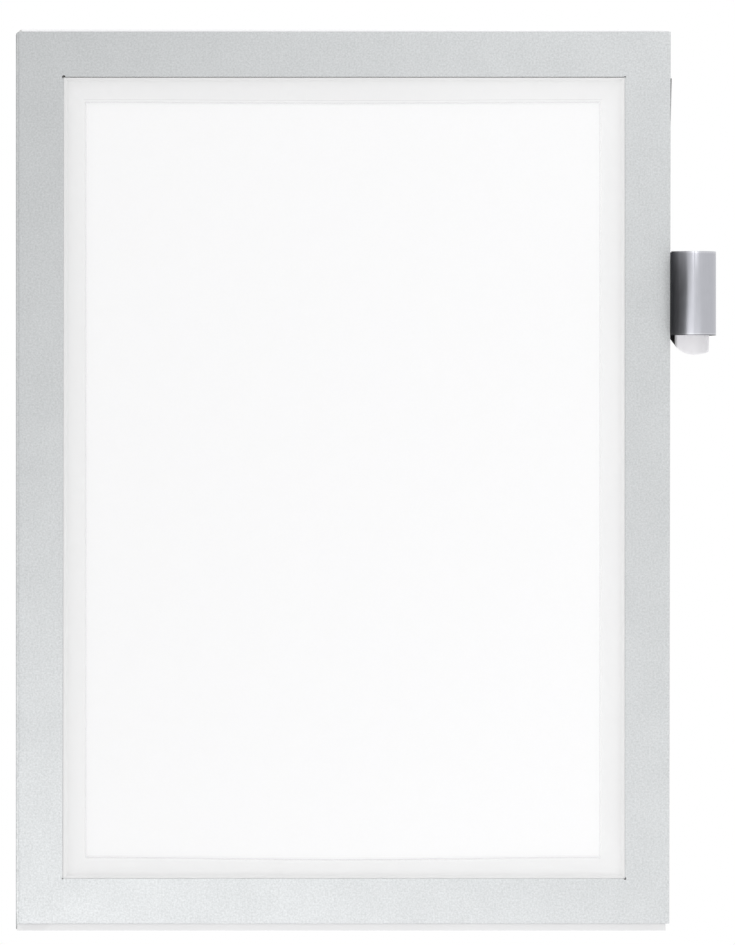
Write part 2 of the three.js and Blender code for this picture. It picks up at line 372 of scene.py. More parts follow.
def silver_film():
    """PVC film with an aluminium-flake lacquer: satin silver, sparkling slightly as the flakes lie unevenly.

    The flakes are finer than a pixel, so they are drawn as clusters of two thirds of a millimetre.
    """
    material, tree, coords = start_material("silver_flake_pvc_film")
    flakes = add_node(tree, "ShaderNodeTexNoise", {
        "Vector": coords,
        "Scale": 1 / FLAKE_CLUSTER,
        "Detail": 2,
        "Roughness": 0.75,
    })
    cloud = add_node(tree, "ShaderNodeTexNoise", {"Vector": coords, "Scale": 1 / FILM_CLOUD, "Detail": 2})
    uneven = add_node(tree, "ShaderNodeMix", {
        0: 0.12,
        2: flakes.outputs["Fac"],
        3: cloud.outputs["Fac"],
    })
    spread = add_node(tree, "ShaderNodeMapRange", {
        "Value": uneven.outputs[0],
        "From Min": 0.33,
        "From Max": 0.67,
    })
    shade = add_node(tree, "ShaderNodeMix", {
        0: spread.outputs["Result"],
        6: linear("#B0B2B3"),
        7: linear("#C2C4C5"),
    }, data_type="RGBA")
    satin = add_node(tree, "ShaderNodeMapRange", {
        "Value": spread.outputs["Result"],
        "To Min": 0.5,
        "To Max": 0.4,
    })
    relief = add_node(tree, "ShaderNodeBump", {
        "Height": flakes.outputs["Fac"],
        "Distance": 0.02 * MM,
        "Strength": 0.6,
    })
    end_material(tree, {
        "Base Color": shade.outputs[2],
        "Metallic": 0.9,
        "Roughness": satin.outputs["Result"],
        "Normal": relief.outputs["Normal"],
    })
    return material


def cut_film(name, outlines, front, thickness, edge, material):
    """A flat film cut to its outline and any window, each a list of (x, z), with its arrises eased."""
    shell = bmesh.new()
    for outline in outlines:
        corners = [shell.verts.new((x, front, z)) for x, z in outline]
        for first, second in zip(corners, corners[1:] + corners[:1]):
            shell.edges.new((first, second))
    bmesh.ops.triangle_fill(shell, use_beauty=True, edges=shell.edges[:], normal=(0, -1, 0))
    for face in shell.faces:
        if face.normal.y > 0:
            face.normal_flip()
    piece = new_piece(name)
    shell.to_mesh(piece.data)
    shell.free()
    piece.data.materials.append(material)
    wall = piece.modifiers.new("thickness", "SOLIDIFY")
    wall.thickness = thickness
    wall.offset = -1
    ease_edges(piece, edge)
    return settle(piece)


def rounded_outline(left, right, bottom, top, radius):
    """A rectangle with round corners, as (x, z) points."""
    centres = (
        (right - radius, bottom + radius, 270),
        (right - radius, top - radius, 0),
        (left + radius, top - radius, 90),
        (left + radius, bottom + radius, 180),
    )
    points = []
    for x, z, start in centres:
        for step in range(CORNER_STEPS + 1):
            angle = math.radians(start + 90 * step / CORNER_STEPS)
            points.append((x + radius * math.cos(angle), z + radius * math.sin(angle)))
    return points


SILVER_FILM = silver_film()
rear_low, rear_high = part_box("rear_border")
board_low, board_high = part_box("backing_board")
rear_outline = rounded_outline(rear_low.x, rear_high.x, rear_low.z, rear_high.z, PANEL_CORNER)
rear_window = rounded_outline(
    board_low.x - BOARD_CORNER,
    board_high.x + BOARD_CORNER,
    board_low.z - BOARD_CORNER,
    board_high.z + BOARD_CORNER,
    BOARD_CORNER,
)
rear_cover = cut_film(
    "rear_border_film",
    (rear_outline, rear_window),
    rear_low.y,
    rear_high.y - rear_low.y,
    COVER_EDGE,
    SILVER_FILM,
)
fit(rear_cover, "rear_leaf", "silver_film", "rear_border")

# Document: one blank sheet of white office paper, guillotined to A4, lying loose between the two leaves.
# The border laps it all round, and the cut-out in the clear film leaves its middle bare.
SHEET_CORNER = 0.1 * MM
SHEET_EDGE = 0.02 * MM
PAPER_FIBRE = 0.8 * MM
PAPER_CLOUD = 6 * MM


def office_paper():
    """Uncoated wood-free paper: bright white and matt, with a faint cloudy look-through and fine fibres."""
    material, tree, coords = start_material("uncoated_white_paper")
    fibres = add_node(tree, "ShaderNodeTexNoise", {"Vector": coords, "Scale": 1 / PAPER_FIBRE, "Detail": 4})
    cloud = add_node(tree, "ShaderNodeTexNoise", {"Vector": coords, "Scale": 1 / PAPER_CLOUD, "Detail": 3})
    uneven = add_node(tree, "ShaderNodeMix", {
        0: 0.4,
        2: fibres.outputs["Fac"],
        3: cloud.outputs["Fac"],
    })
    shade = add_node(tree, "ShaderNodeMix", {
        0: uneven.outputs[0],
        6: linear("#FAFAFB"),
        7: linear("#F6F6F6"),
    }, data_type="RGBA")
    relief = add_node(tree, "ShaderNodeBump", {
        "Height": fibres.outputs["Fac"],
        "Distance": 0.01 * MM,
        "Strength": 0.4,
    })
    end_material(tree, {
        "Base Color": shade.outputs[2],
        "Roughness": 0.9,
        "Specular IOR Level": 0.25,
        "Normal": relief.outputs["Normal"],
    })
    return material


document = cut_sheet("document_sheet", SHEET_CORNER, SHEET_EDGE, office_paper())
fit(document, "document", "paper", "document_sheet")

# Front magnets: four more strips, glued behind the clear film, which hold the front leaf shut. The top one
# sits slightly low and shows as a dark line along the window's upper edge, standing in for the shade under
# the border's edge. The right one is slit a little askew, so its upper end peeks past the border's edge.
PEEK_OUT = 0.7 * MM
PEEK_LENGTH = 32 * MM

lay_magnets("front", ("top", "bottom", "left"))
front_low, front_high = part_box("front_border")
strip_low, strip_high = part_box("front_magnet_right")
straight_top = strip_high.z - PEEK_LENGTH
askew_strip = cut_film(
    "front_magnet_right_strip",
    ((
        (strip_low.x, strip_low.z),
        (strip_high.x, strip_low.z),
        (strip_high.x, straight_top - PEEK_LENGTH),
        (front_high.x, straight_top),
        (front_high.x + PEEK_OUT, strip_high.z),
        (strip_low.x, strip_high.z),
    ),),
    strip_low.y,
    strip_high.y - strip_low.y,
    MAGNET_EDGE,
    UPRIGHT_RUBBER,
)
fit(askew_strip, "front_leaf", "magnetic_rubber", "front_magnet_right")

# Clear film: a sheet of PET behind the border that keeps the document flat, with a large cut-out to write
# through. A haze on its front whitens its margin, and whitens it more towards the border's window as painted
# light. Painted shade darkens the cut-out's edge on all sides but the right, with a painted shadow line just
# above its top edge. Its glued rim is milky, greyer in its lower half as painted shade, and shows as a pale
# band above and below the border.
FILM_STEPS = 24
RIM_ABOVE = 0.95 * MM
RIM_BELOW = 2.5 * MM
RIM_TUCK = 0.28 * MM
RIM_TOP_INSETS = (1.0 * MM, 0.4 * MM)
RIM_FOOT_INSETS = (-0.7 * MM, 1.5 * MM)
CLEAR_BESIDE_WINDOW = 1.5 * MM
EDGE_BAND = 0.3 * MM
CUT_BAND = 0.3 * MM
# A painted shadow line of the cut edge runs just above the cut-out's top edge, as a darker band.
SHADOW_LINE_BAND = 0.22 * MM
SHADOW_LINE_OFFSETS = {"left": 0.6 * MM, "right": 0.6 * MM, "bottom": 0.6 * MM, "top": 0.8 * MM}
SHADOW_LINE_BOWS = {"left": 0.0, "right": 0.0, "bottom": 0.8 * MM, "top": -0.3 * MM}
CUT_BOWS = {"left": 0.0, "right": 0.0, "bottom": 0.8 * MM, "top": -0.5 * MM}
FILM_SAG = 0.45 * MM
SAG_AT_CORNERS = 0.55
SAG_FROM_CUT = 4 * MM
SAG_BEFORE_SHADOW_LINE = 0.6
SAG_AT_SHADOW_LINE = 0.9
BORDER_WIDTHS = {"left": 16.2 * MM, "right": 16.15 * MM, "bottom": 16.3 * MM, "top": 16.3 * MM}
WINDOW_LEAN = 0.45 * MM
WINDOW_MARGINS = {"left": 8.0 * MM, "right": 9.05 * MM, "bottom": 7.6 * MM, "top": 9.1 * MM}
SMUDGE = 18 * MM
# Painted light: the haze is whitest at the border's window and thins over this reach.
LIGHT_HAZE_REACH = 1.8 * MM
BORDER_LIGHT_HAZE = 0.72
EDGE_ON_HAZE = 0.95


def corners_of(edges):
    """A rectangle's corners as (x, z), from the lower left by way of the lower right."""
    return [
        (edges["left"], edges["bottom"]),
        (edges["right"], edges["bottom"]),
        (edges["right"], edges["top"]),
        (edges["left"], edges["top"]),
    ]


def spread_edges(edges, offsets):
    """A rectangle's edges, each moved outwards by its own offset."""
    signs = {"left": -1, "right": 1, "bottom": -1, "top": 1}
    return {side: edges[side] + signs[side] * offsets[side] for side in edges}


def even(value):
    """The same value on all four sides."""
    return {side: value for side in ("left", "right", "bottom", "top")}


film_low, film_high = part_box("window_film")
front_edges = {"left": front_low.x, "right": front_high.x, "bottom": front_low.z, "top": front_high.z}
window_edges = spread_edges(front_edges, {side: -width for side, width in BORDER_WIDTHS.items()})
cut_edges = spread_edges(window_edges, {side: -margin for side, margin in WINDOW_MARGINS.items()})
window_corners = corners_of(window_edges)
window_corners[0] = (window_edges["left"] - WINDOW_LEAN, window_edges["bottom"])


def border_light_haze(tree, coords, haze):
    """Haze of the film, whitest at the border's window and thinning towards the cut-out: painted light over
    the border's shade on the paper.
    """
    place = add_node(tree, "ShaderNodeSeparateXYZ", {"Vector": coords}).outputs
    nearest = None
    for start, end in (
        (place["X"], window_edges["left"]),
        (window_edges["right"], place["X"]),
        (place["Z"], window_edges["bottom"]),
        (window_edges["top"], place["Z"]),
    ):
        inside = add_node(tree, "ShaderNodeMath", {0: start, 1: end}, operation="SUBTRACT")
        if nearest:
            inside = add_node(tree, "ShaderNodeMath", {
                0: nearest,
                1: inside.outputs[0],
            }, operation="MINIMUM")
        nearest = inside.outputs[0]
    return add_node(tree, "ShaderNodeMapRange", {
        "Value": nearest,
        "From Min": 0.0,
        "From Max": LIGHT_HAZE_REACH,
        "To Min": BORDER_LIGHT_HAZE,
        "To Max": haze,
    }, interpolation_type="SMOOTHSTEP").outputs["Result"]


def clear_film(name, tint, haze, lightens_near_border=False):
    """PET film: glossy with faint smudges, with its own share of haze, and milky when seen edge-on. Its haze
    can whiten towards the border's window as painted light.
    """
    material, tree, coords = start_material(name)
    if lightens_near_border:
        haze = border_light_haze(tree, coords, haze)
    smudges = add_node(tree, "ShaderNodeTexNoise", {"Vector": coords, "Scale": 1 / SMUDGE, "Detail": 4})
    gloss = add_node(tree, "ShaderNodeMapRange", {
        "Value": smudges.outputs["Fac"],
        "From Min": 0.3,
        "From Max": 0.7,
        "To Min": 0.1,
        "To Max": 0.24,
    })
    slant = add_node(tree, "ShaderNodeLayerWeight", {"Blend": 0.5})
    grazing = add_node(tree, "ShaderNodeMath", {0: slant.outputs["Facing"], 1: 3.0}, operation="POWER")
    seen = add_node(tree, "ShaderNodeMapRange", {
        "Value": grazing.outputs[0],
        "To Min": haze,
        "To Max": EDGE_ON_HAZE,
    })
    end_material(tree, {
        "Base Color": linear(tint),
        "Roughness": gloss.outputs["Result"],
        "IOR": 1.57,
        "Alpha": seen.outputs["Result"],
    })
    return material


FILM_SIDES = {"bottom": (0, -1), "right": (1, 0), "top": (0, 1), "left": (-1, 0)}


def film_loop(corners, bows, front):
    """Points round four corners, with sides that bow outwards, most at their middles."""
    points = []
    for start, end, side in zip(corners, corners[1:] + corners[:1], FILM_SIDES):
        for step in range(FILM_STEPS):
            share = step / FILM_STEPS
            swell = math.sin(math.pi * share) ** 2
            x, z = (a + (b - a) * share + bows[side] * swell * out
                    for a, b, out in zip(start, end, FILM_SIDES[side]))
            points.append(Vector((x, front(swell), z)))
    return points


shadow_line_out = {side: offset + SHADOW_LINE_BAND for side, offset in SHADOW_LINE_OFFSETS.items()}


def sagging(share):
    """Gives a loop's depth from its swell, where the film sags by a share of its whole sag."""
    return lambda swell: film_low.y + FILM_SAG * share * (SAG_AT_CORNERS + (1 - SAG_AT_CORNERS) * swell)


rim_foot = front_low.z - RIM_BELOW
rim_head = front_high.z + RIM_ABOVE
rim_corners = [
    (front_low.x + RIM_FOOT_INSETS[0], rim_foot),
    (front_high.x - RIM_FOOT_INSETS[1], rim_foot),
    (front_high.x - RIM_TOP_INSETS[1], rim_head),
    (front_low.x + RIM_TOP_INSETS[0], rim_head),
]


def inside_window(offsets, bows, share):
    """A loop of the free margin, outside the cut-out's edges by an offset on each side."""
    return film_loop(corners_of(spread_edges(cut_edges, offsets)), bows, sagging(share))


rim_loop = film_loop(rim_corners, even(0), sagging(0))
for point in rim_loop:
    if point.x < front_low.x:
        point.y += RIM_TUCK
film_loops = (
    rim_loop,
    film_loop(corners_of(spread_edges(window_edges, even(CLEAR_BESIDE_WINDOW))), even(0), sagging(0)),
    film_loop(window_corners, even(0), sagging(0)),
    film_loop(corners_of(spread_edges(window_edges, even(-EDGE_BAND))), even(0), sagging(0)),
    inside_window(even(SAG_FROM_CUT), even(0), SAG_BEFORE_SHADOW_LINE),
    inside_window(shadow_line_out, SHADOW_LINE_BOWS, SAG_AT_SHADOW_LINE),
    inside_window(SHADOW_LINE_OFFSETS, SHADOW_LINE_BOWS, SAG_AT_SHADOW_LINE),
    inside_window(even(CUT_BAND), CUT_BOWS, 1),
    inside_window(even(0), CUT_BOWS, 1),
)
FILM_FINISHES = (
    ("hazy_pet_film", "#FFFFFF", 0.42),
    ("edge_pet_film", "#FCFCFD", 0.2),
    # Beside the border: haze whitened towards the window, as painted light.
    ("beside_border_pet_film", "#FFFFFF", 0.42, True),
    # Darker tint for the painted shadow line and for painted shade on the cut edge.
    ("scored_pet_film", "#E4E4E5", 0.45),
    # Darker tint for painted shade along the cut-out's lower edge.
    ("cut_pet_edge", "#E3E3E4", 0.45),
    ("glued_pet_film", "#FCFCFD", 0.95),
    # The rim's lower half: greyer, as painted shade.
    ("pressed_pet_film", "#DEDEDF", 0.95),
    ("clear_pet_film", "#DCDDDE", 0.02),
)
HAZY, EDGE, LIT_BESIDE, PAINTED_SHADOW, SHADED_CUT, GLUED, SHADED_RIM, CLEAR = range(len(FILM_FINISHES))
FILM_PARTS = (
    even(GLUED),
    even(CLEAR),
    {"bottom": LIT_BESIDE, "right": LIT_BESIDE, "top": EDGE, "left": LIT_BESIDE},
    even(LIT_BESIDE),
    even(LIT_BESIDE),
    # The band above the cut-out's top edge is a painted shadow line.
    {"bottom": HAZY, "right": HAZY, "top": PAINTED_SHADOW, "left": HAZY},
    even(HAZY),
    # Painted shade along the cut-out's edge, on all sides but the right.
    {"bottom": SHADED_CUT, "right": HAZY, "top": PAINTED_SHADOW, "left": PAINTED_SHADOW},
)
film_strips = list(FILM_SIDES)
film_shell = bmesh.new()
film_rings = [[film_shell.verts.new(point) for point in loop] for loop in film_loops]
for parts, outer, inner in zip(FILM_PARTS, film_rings, film_rings[1:]):
    for index in range(len(outer)):
        following = (index + 1) % len(outer)
        strip = film_shell.faces.new((outer[index], outer[following], inner[following], inner[index]))
        strip.material_index = parts[film_strips[index // FILM_STEPS]]
        # Painted shade: the rim's lower half takes the greyer finish.
        if outer is film_rings[0] and outer[index].co.z < 0:
            strip.material_index = SHADED_RIM
        strip.smooth = True
film = new_piece("clear_margin_film")
film_shell.to_mesh(film.data)
film_shell.free()
for finish in FILM_FINISHES:
    film.data.materials.append(clear_film(*finish))
film_wall = film.modifiers.new("thickness", "SOLIDIFY")
film_wall.thickness = film_high.y - film_low.y
film_wall.offset = -1
film_wall.material_offset = CLEAR
settle(film)
fit(film, "front_leaf", "clear_film", "window_film")

# Front border: the silver face of the frame, die cut in one piece and laminated over the clear film.
# It is cut a little out of square, and small round nicks from the cutter show at its window's corners.
NICK_STEPS = 9
NICK_RADII = (0.25 * MM, 0.45 * MM, 0.3 * MM, 0.6 * MM)
HEAD_LEAN = 0.35 * MM
FOOT_LEAN = 0.2 * MM


def nicked_outline(corners, radii):
    """A window whose corners run out into round nicks, as (x, z) points."""
    points = []
    for index, ((x, z), radius) in enumerate(zip(corners, radii)):
        for step in range(NICK_STEPS + 1):
            angle = math.radians(90 * (index + 1) + 270 * step / NICK_STEPS)
            points.append((x + radius * math.cos(angle), z + radius * math.sin(angle)))
    return points


front_outline = (
    (front_low.x, front_low.z),
    (front_high.x - FOOT_LEAN, front_low.z),
    (front_high.x + HEAD_LEAN, front_high.z),
    (front_low.x, front_high.z),
)
front_cover = cut_film(
    "front_border_film",
    (front_outline, nicked_outline(window_corners, NICK_RADII)),
    front_low.y,
    front_high.y - front_low.y,
    COVER_EDGE,
    SILVER_FILM,
)
fit(front_cover, "front_leaf", "silver_film", "front_border")

# Film hinge: one strip of the silver film, wrapped round the left edge and glued into both leaves.
# It is creased flat in front and round behind. Its top end is cut back to a round corner.
HINGE_STEPS = 20
HINGE_ROWS = 40
HINGE_WALL = 0.25 * MM
HINGE_CORNER = 1.45 * MM
HINGE_FOOT = 0.5 * MM
FLAT_FOLD = 0.15
ROUND_FOLD = 1.0
FOLD_STEP = 0.8 * MM

leg_low, leg_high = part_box("hinge_leaf_front")
tail_low, tail_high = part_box("hinge_leaf_rear")
crease = Vector(frame["joints"][0]["pos_m"])
front_fold = crease.y - leg_low.y
rear_fold = tail_high.y - crease.y


def hinge_profile(wall):
    """The strip seen from above at a depth within its wall, from the front leg round to the rear leg."""
    quarters = []
    for fold, squareness, side in ((front_fold, FLAT_FOLD, -1), (rear_fold, ROUND_FOLD, 1)):
        quarter = []
        for step in range(HINGE_STEPS + 1):
            angle = math.pi / 2 * (step / HINGE_STEPS) ** (1 / squareness)
            across = (fold - wall) * math.sin(angle) ** squareness
            along = (fold - wall) * max(0, math.cos(angle)) ** squareness
            quarter.append(Vector((crease.x + fold - across, crease.y + side * along)))
        quarters.append(quarter)
    front_leg = Vector((leg_high.x, leg_low.y + wall))
    rear_leg = Vector((tail_high.x, tail_high.y - wall))
    return [front_leg, *quarters[0], *quarters[1][-2::-1], rear_leg]


def hinge_ends(point):
    """Lowest and highest point of the strip above a place in its profile."""
    fold_share = min(1, max(0, (point.x - crease.x) / front_fold))
    rounding = 1 - math.sqrt(1 - (1 - fold_share) ** 2)
    on_leg = point.x > crease.x + front_fold - FOLD_STEP
    bottom = leg_low.z if on_leg else tail_low.z + HINGE_FOOT * rounding
    return bottom, leg_high.z - HINGE_CORNER * rounding


hinge_shell = bmesh.new()
hinge_ring = hinge_profile(0) + hinge_profile(HINGE_WALL)[::-1]
hinge_rows = []
for row in range(HINGE_ROWS + 1):
    level = []
    for point in hinge_ring:
        low_end, high_end = hinge_ends(point)
        height = low_end + (high_end - low_end) * row / HINGE_ROWS
        level.append(hinge_shell.verts.new((point.x, point.y, height)))
    hinge_rows.append(level)
ring_size = len(hinge_ring)
for lower, upper in zip(hinge_rows, hinge_rows[1:]):
    for index in range(ring_size):
        following = (index + 1) % ring_size
        hinge_shell.faces.new((lower[index], lower[following], upper[following], upper[index]))
for level in (hinge_rows[0], hinge_rows[-1]):
    for index in range(ring_size // 2 - 1):
        opposite = ring_size - 1 - index
        hinge_shell.faces.new((level[index], level[index + 1], level[opposite - 1], level[opposite]))
bmesh.ops.recalc_face_normals(hinge_shell, faces=hinge_shell.faces[:])
hinge = new_piece("film_hinge")
hinge_shell.to_mesh(hinge.data)
hinge_shell.free()
hinge.data.materials.append(SILVER_FILM)
settle(hinge)
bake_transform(hinge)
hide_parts("hinge_leaf_front", "hinge_leaf_rear")

# Pen sleeve: a strip of thin spring steel, rolled round a pen. Its flat tail is bonded under the back panel,
# and past its front the roll flattens into a flank that stops at the frame's edge. The satin surface has
# fine rolling lines up its height.
SLEEVE_RADIUS = 8.1 * MM
SLEEVE_WALL = 0.4 * MM
SLEEVE_TURN = math.radians(180 + 25)
FLANK_RADIUS = 20 * MM
FLANK_TURN = math.radians(16.5)
SLEEVE_PROUD = 0.25 * MM
SLEEVE_STEPS = 160
SLEEVE_EDGE = 0.08 * MM
STEEL_LINE_LENGTH = 14 * MM
STEEL_LINE_WIDTH = 0.5 * MM
STEEL_MOTTLE = 4 * MM
RIM_HIGHLIGHT_FROM = 0.9 * MM
RIM_HIGHLIGHT_TO = 0.5 * MM
SHADED_EDGE_FROM = 0.12 * MM
SHADED_EDGE_TO = 0.3 * MM
FLANK_SHADE_REACH = 3.1 * MM
FLANK_SHADE = 0.9


def rolled_strip_tree():
    """Node tree of a strip: a straight tail, a roll round an upright axis, and a flank of wider radius."""
    tree = bpy.data.node_groups.new("rolled_strip", "GeometryNodeTree")
    sockets = {
        "Tail": "NodeSocketFloat",
        "Radius": "NodeSocketFloat",
        "Turn": "NodeSocketFloat",
        "Flank Radius": "NodeSocketFloat",
        "Flank Turn": "NodeSocketFloat",
        "Height": "NodeSocketFloat",
        "Steps": "NodeSocketInt",
        "Place": "NodeSocketVector",
        "Material": "NodeSocketMaterial",
    }
    for name, kind in sockets.items():
        tree.interface.new_socket(name, in_out="INPUT", socket_type=kind)
    tree.interface.new_socket("Geometry", in_out="OUTPUT", socket_type="NodeSocketGeometry")
    given = add_node(tree, "NodeGroupInput").outputs
    math_node = "ShaderNodeMath"
    rolled = add_node(tree, math_node, {0: given["Radius"], 1: given["Turn"]}, operation="MULTIPLY")
    bent_length = add_node(tree, math_node, {
        0: given["Flank Radius"],
        1: given["Flank Turn"],
        2: rolled.outputs[0],
    }, operation="MULTIPLY_ADD")
    length = add_node(tree, math_node, {0: bent_length.outputs[0], 1: given["Tail"]}, operation="ADD")
    strip = add_node(tree, "GeometryNodeMeshGrid", {
        "Size X": length.outputs[0],
        "Size Y": given["Height"],
        "Vertices X": given["Steps"],
        "Vertices Y": 2,
    })
    flat = add_node(tree, "ShaderNodeSeparateXYZ", {
        "Vector": add_node(tree, "GeometryNodeInputPosition").outputs["Position"],
    })
    along = add_node(tree, math_node, {
        0: length.outputs[0],
        1: 0.5,
        2: flat.outputs["X"],
    }, operation="MULTIPLY_ADD")
    straight = add_node(tree, math_node, {0: along.outputs[0], 1: given["Tail"]}, operation="MINIMUM")
    bent = add_node(tree, math_node, {0: along.outputs[0], 1: straight.outputs[0]}, operation="SUBTRACT")
    on_roll = add_node(tree, math_node, {0: bent.outputs[0], 1: rolled.outputs[0]}, operation="MINIMUM")
    on_flank = add_node(tree, math_node, {0: bent.outputs[0], 1: on_roll.outputs[0]}, operation="SUBTRACT")
    roll_angle = add_node(tree, math_node, {0: on_roll.outputs[0], 1: given["Radius"]}, operation="DIVIDE")
    flank_angle = add_node(tree, math_node, {
        0: on_flank.outputs[0],
        1: given["Flank Radius"],
    }, operation="DIVIDE")
    angle = add_node(tree, math_node, {0: roll_angle.outputs[0], 1: flank_angle.outputs[0]}, operation="ADD")
    short = add_node(tree, math_node, {
        0: given["Radius"],
        1: given["Flank Radius"],
    }, operation="SUBTRACT")
    back = add_node(tree, math_node, {0: given["Radius"], 1: -1.0}, operation="MULTIPLY")
    places = []
    for wave, origin in (("SINE", straight), ("COSINE", back)):
        turned = add_node(tree, math_node, {0: roll_angle.outputs[0]}, operation=wave)
        rolled_place = add_node(tree, math_node, {
            0: turned.outputs[0],
            1: short.outputs[0],
            2: origin.outputs[0],
        }, operation="MULTIPLY_ADD")
        turned_on = add_node(tree, math_node, {0: angle.outputs[0]}, operation=wave)
        places.append(add_node(tree, math_node, {
            0: turned_on.outputs[0],
            1: given["Flank Radius"],
            2: rolled_place.outputs[0],
        }, operation="MULTIPLY_ADD"))
    shape = add_node(tree, "ShaderNodeCombineXYZ", {
        "X": places[0].outputs[0],
        "Y": places[1].outputs[0],
        "Z": flat.outputs["Y"],
    })
    placed = add_node(tree, "ShaderNodeVectorMath", {
        0: shape.outputs[0],
        1: given["Place"],
    }, operation="ADD")
    shaped = add_node(tree, "GeometryNodeSetPosition", {
        "Geometry": strip.outputs["Mesh"],
        "Position": placed.outputs[0],
    })
    real = add_node(tree, "GeometryNodeRealizeInstances", {"Geometry": shaped.outputs["Geometry"]})
    dressed = add_node(tree, "GeometryNodeSetMaterial", {
        "Geometry": real.outputs["Geometry"],
        "Material": given["Material"],
    })
    add_node(tree, "NodeGroupOutput", {"Geometry": dressed.outputs["Geometry"]})
    return tree


sleeve_low, sleeve_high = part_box("pen_sleeve")


def spring_steel():
    """Cold-rolled spring steel: satin grey, with fine upright rolling lines and a painted highlight on both
    rims.

    Its lower edge is darkened as painted shade, and painted shade darkens the flank towards its free end.
    """
    material, tree, coords = start_material("satin_spring_steel")
    drawn = add_node(tree, "ShaderNodeMapping", {
        "Vector": coords,
        "Scale": (1 / STEEL_LINE_WIDTH, 1 / STEEL_LINE_WIDTH, 1 / STEEL_LINE_LENGTH),
    })
    lines = add_node(tree, "ShaderNodeTexNoise", {
        "Vector": drawn.outputs["Vector"],
        "Scale": 1,
        "Detail": 4,
    })
    mottle = add_node(tree, "ShaderNodeTexNoise", {"Vector": coords, "Scale": 1 / STEEL_MOTTLE, "Detail": 3})
    uneven = add_node(tree, "ShaderNodeMix", {0: 0.4, 2: lines.outputs["Fac"], 3: mottle.outputs["Fac"]})
    shade = add_node(tree, "ShaderNodeMix", {
        0: uneven.outputs[0],
        6: linear("#AEAFB5"),
        7: linear("#BCBDC3"),
    }, data_type="RGBA")
    place = add_node(tree, "ShaderNodeSeparateXYZ", {"Vector": coords})
    off_middle = add_node(tree, "ShaderNodeMath", {
        0: place.outputs["Z"],
        1: (sleeve_low.z + sleeve_high.z) / 2,
    }, operation="SUBTRACT")
    from_middle = add_node(tree, "ShaderNodeMath", {0: off_middle.outputs[0]}, operation="ABSOLUTE")
    half_height = (sleeve_high.z - sleeve_low.z) / 2
    # Painted highlight: both rims are lightened in colour.
    rim = add_node(tree, "ShaderNodeMapRange", {
        "Value": from_middle.outputs[0],
        "From Min": half_height - RIM_HIGHLIGHT_FROM,
        "From Max": half_height - RIM_HIGHLIGHT_TO,
    })
    rim_highlighted = add_node(tree, "ShaderNodeMix", {
        0: rim.outputs["Result"],
        6: shade.outputs[2],
        7: linear("#C6C7CC"),
    }, data_type="RGBA")
    # Painted shade: the sleeve's lower edge is darkened in colour.
    lower_edge_shade = add_node(tree, "ShaderNodeMapRange", {
        "Value": place.outputs["Z"],
        "From Min": sleeve_low.z + SHADED_EDGE_FROM,
        "From Max": sleeve_low.z + SHADED_EDGE_TO,
        "To Min": 1.0,
        "To Max": 0.0,
    })
    lower_edge_shaded = add_node(tree, "ShaderNodeMix", {
        0: lower_edge_shade.outputs["Result"],
        6: rim_highlighted.outputs[2],
        7: linear("#4A4B50"),
    }, data_type="RGBA")
    # Painted shade: the flank's front darkens towards its free end, beside the frame's edge.
    flank_shade_ramp = add_node(tree, "ShaderNodeMapRange", {
        "Value": place.outputs["X"],
        "From Min": front_high.x,
        "From Max": front_high.x + FLANK_SHADE_REACH,
        "To Min": FLANK_SHADE,
        "To Max": 0.0,
    })
    on_front = add_node(tree, "ShaderNodeMath", {
        0: place.outputs["Y"],
        1: (sleeve_low.y + sleeve_high.y) / 2,
    }, operation="LESS_THAN")
    flank_shade_mask = add_node(tree, "ShaderNodeMath", {
        0: flank_shade_ramp.outputs["Result"],
        1: on_front.outputs[0],
    }, operation="MULTIPLY")
    flank_shaded = add_node(tree, "ShaderNodeMix", {
        0: flank_shade_mask.outputs[0],
        6: lower_edge_shaded.outputs[2],
        7: linear("#3A3B40"),
    }, data_type="RGBA")
    satin = add_node(tree, "ShaderNodeMapRange", {
        "Value": uneven.outputs[0],
        "From Min": 0.3,
        "From Max": 0.7,
        "To Min": 0.28,
        "To Max": 0.33,
    })
    relief = add_node(tree, "ShaderNodeBump", {
        "Height": lines.outputs["Fac"],
        "Distance": 0.002 * MM,
        "Strength": 0.4,
    })
    end_material(tree, {
        "Base Color": flank_shaded.outputs[2],
        "Metallic": 1.0,
        "Roughness": satin.outputs["Result"],
        "Normal": relief.outputs["Normal"],
    })
    return material


sleeve_axis = Vector((sleeve_high.x - SLEEVE_RADIUS, sleeve_high.y - SLEEVE_RADIUS))
sleeve = new_piece("pen_sleeve_roll")
give_nodes(sleeve, rolled_strip_tree(), {
    "Tail": sleeve_axis.x + SLEEVE_PROUD - sleeve_low.x,
    "Radius": SLEEVE_RADIUS,
    "Turn": SLEEVE_TURN,
    "Flank Radius": FLANK_RADIUS,
    "Flank Turn": FLANK_TURN,
    "Height": sleeve_high.z - sleeve_low.z,
    "Steps": SLEEVE_STEPS,
    "Place": (sleeve_low.x, sleeve_high.y, (sleeve_low.z + sleeve_high.z) / 2),
    "Material": spring_steel(),
})
sleeve_wall = sleeve.modifiers.new("thickness", "SOLIDIFY")
sleeve_wall.thickness = SLEEVE_WALL
sleeve_wall.offset = 1
ease_edges(sleeve, SLEEVE_EDGE, 3)
settle(sleeve)
fit(sleeve, "rear_leaf", "spring_steel", "pen_sleeve")

# Sleeve pad: a black foam pad that bonds the sleeve's tail to the back panel. It shows as a dark line
# between the frame and the sleeve, and its pointed ear below the sleeve is a dark wedge of painted shade.
PAD_SHADE_EAR_DROP = 0.8 * MM
PAD_EDGE = 0.04 * MM
PAD_CELL = 0.4 * MM


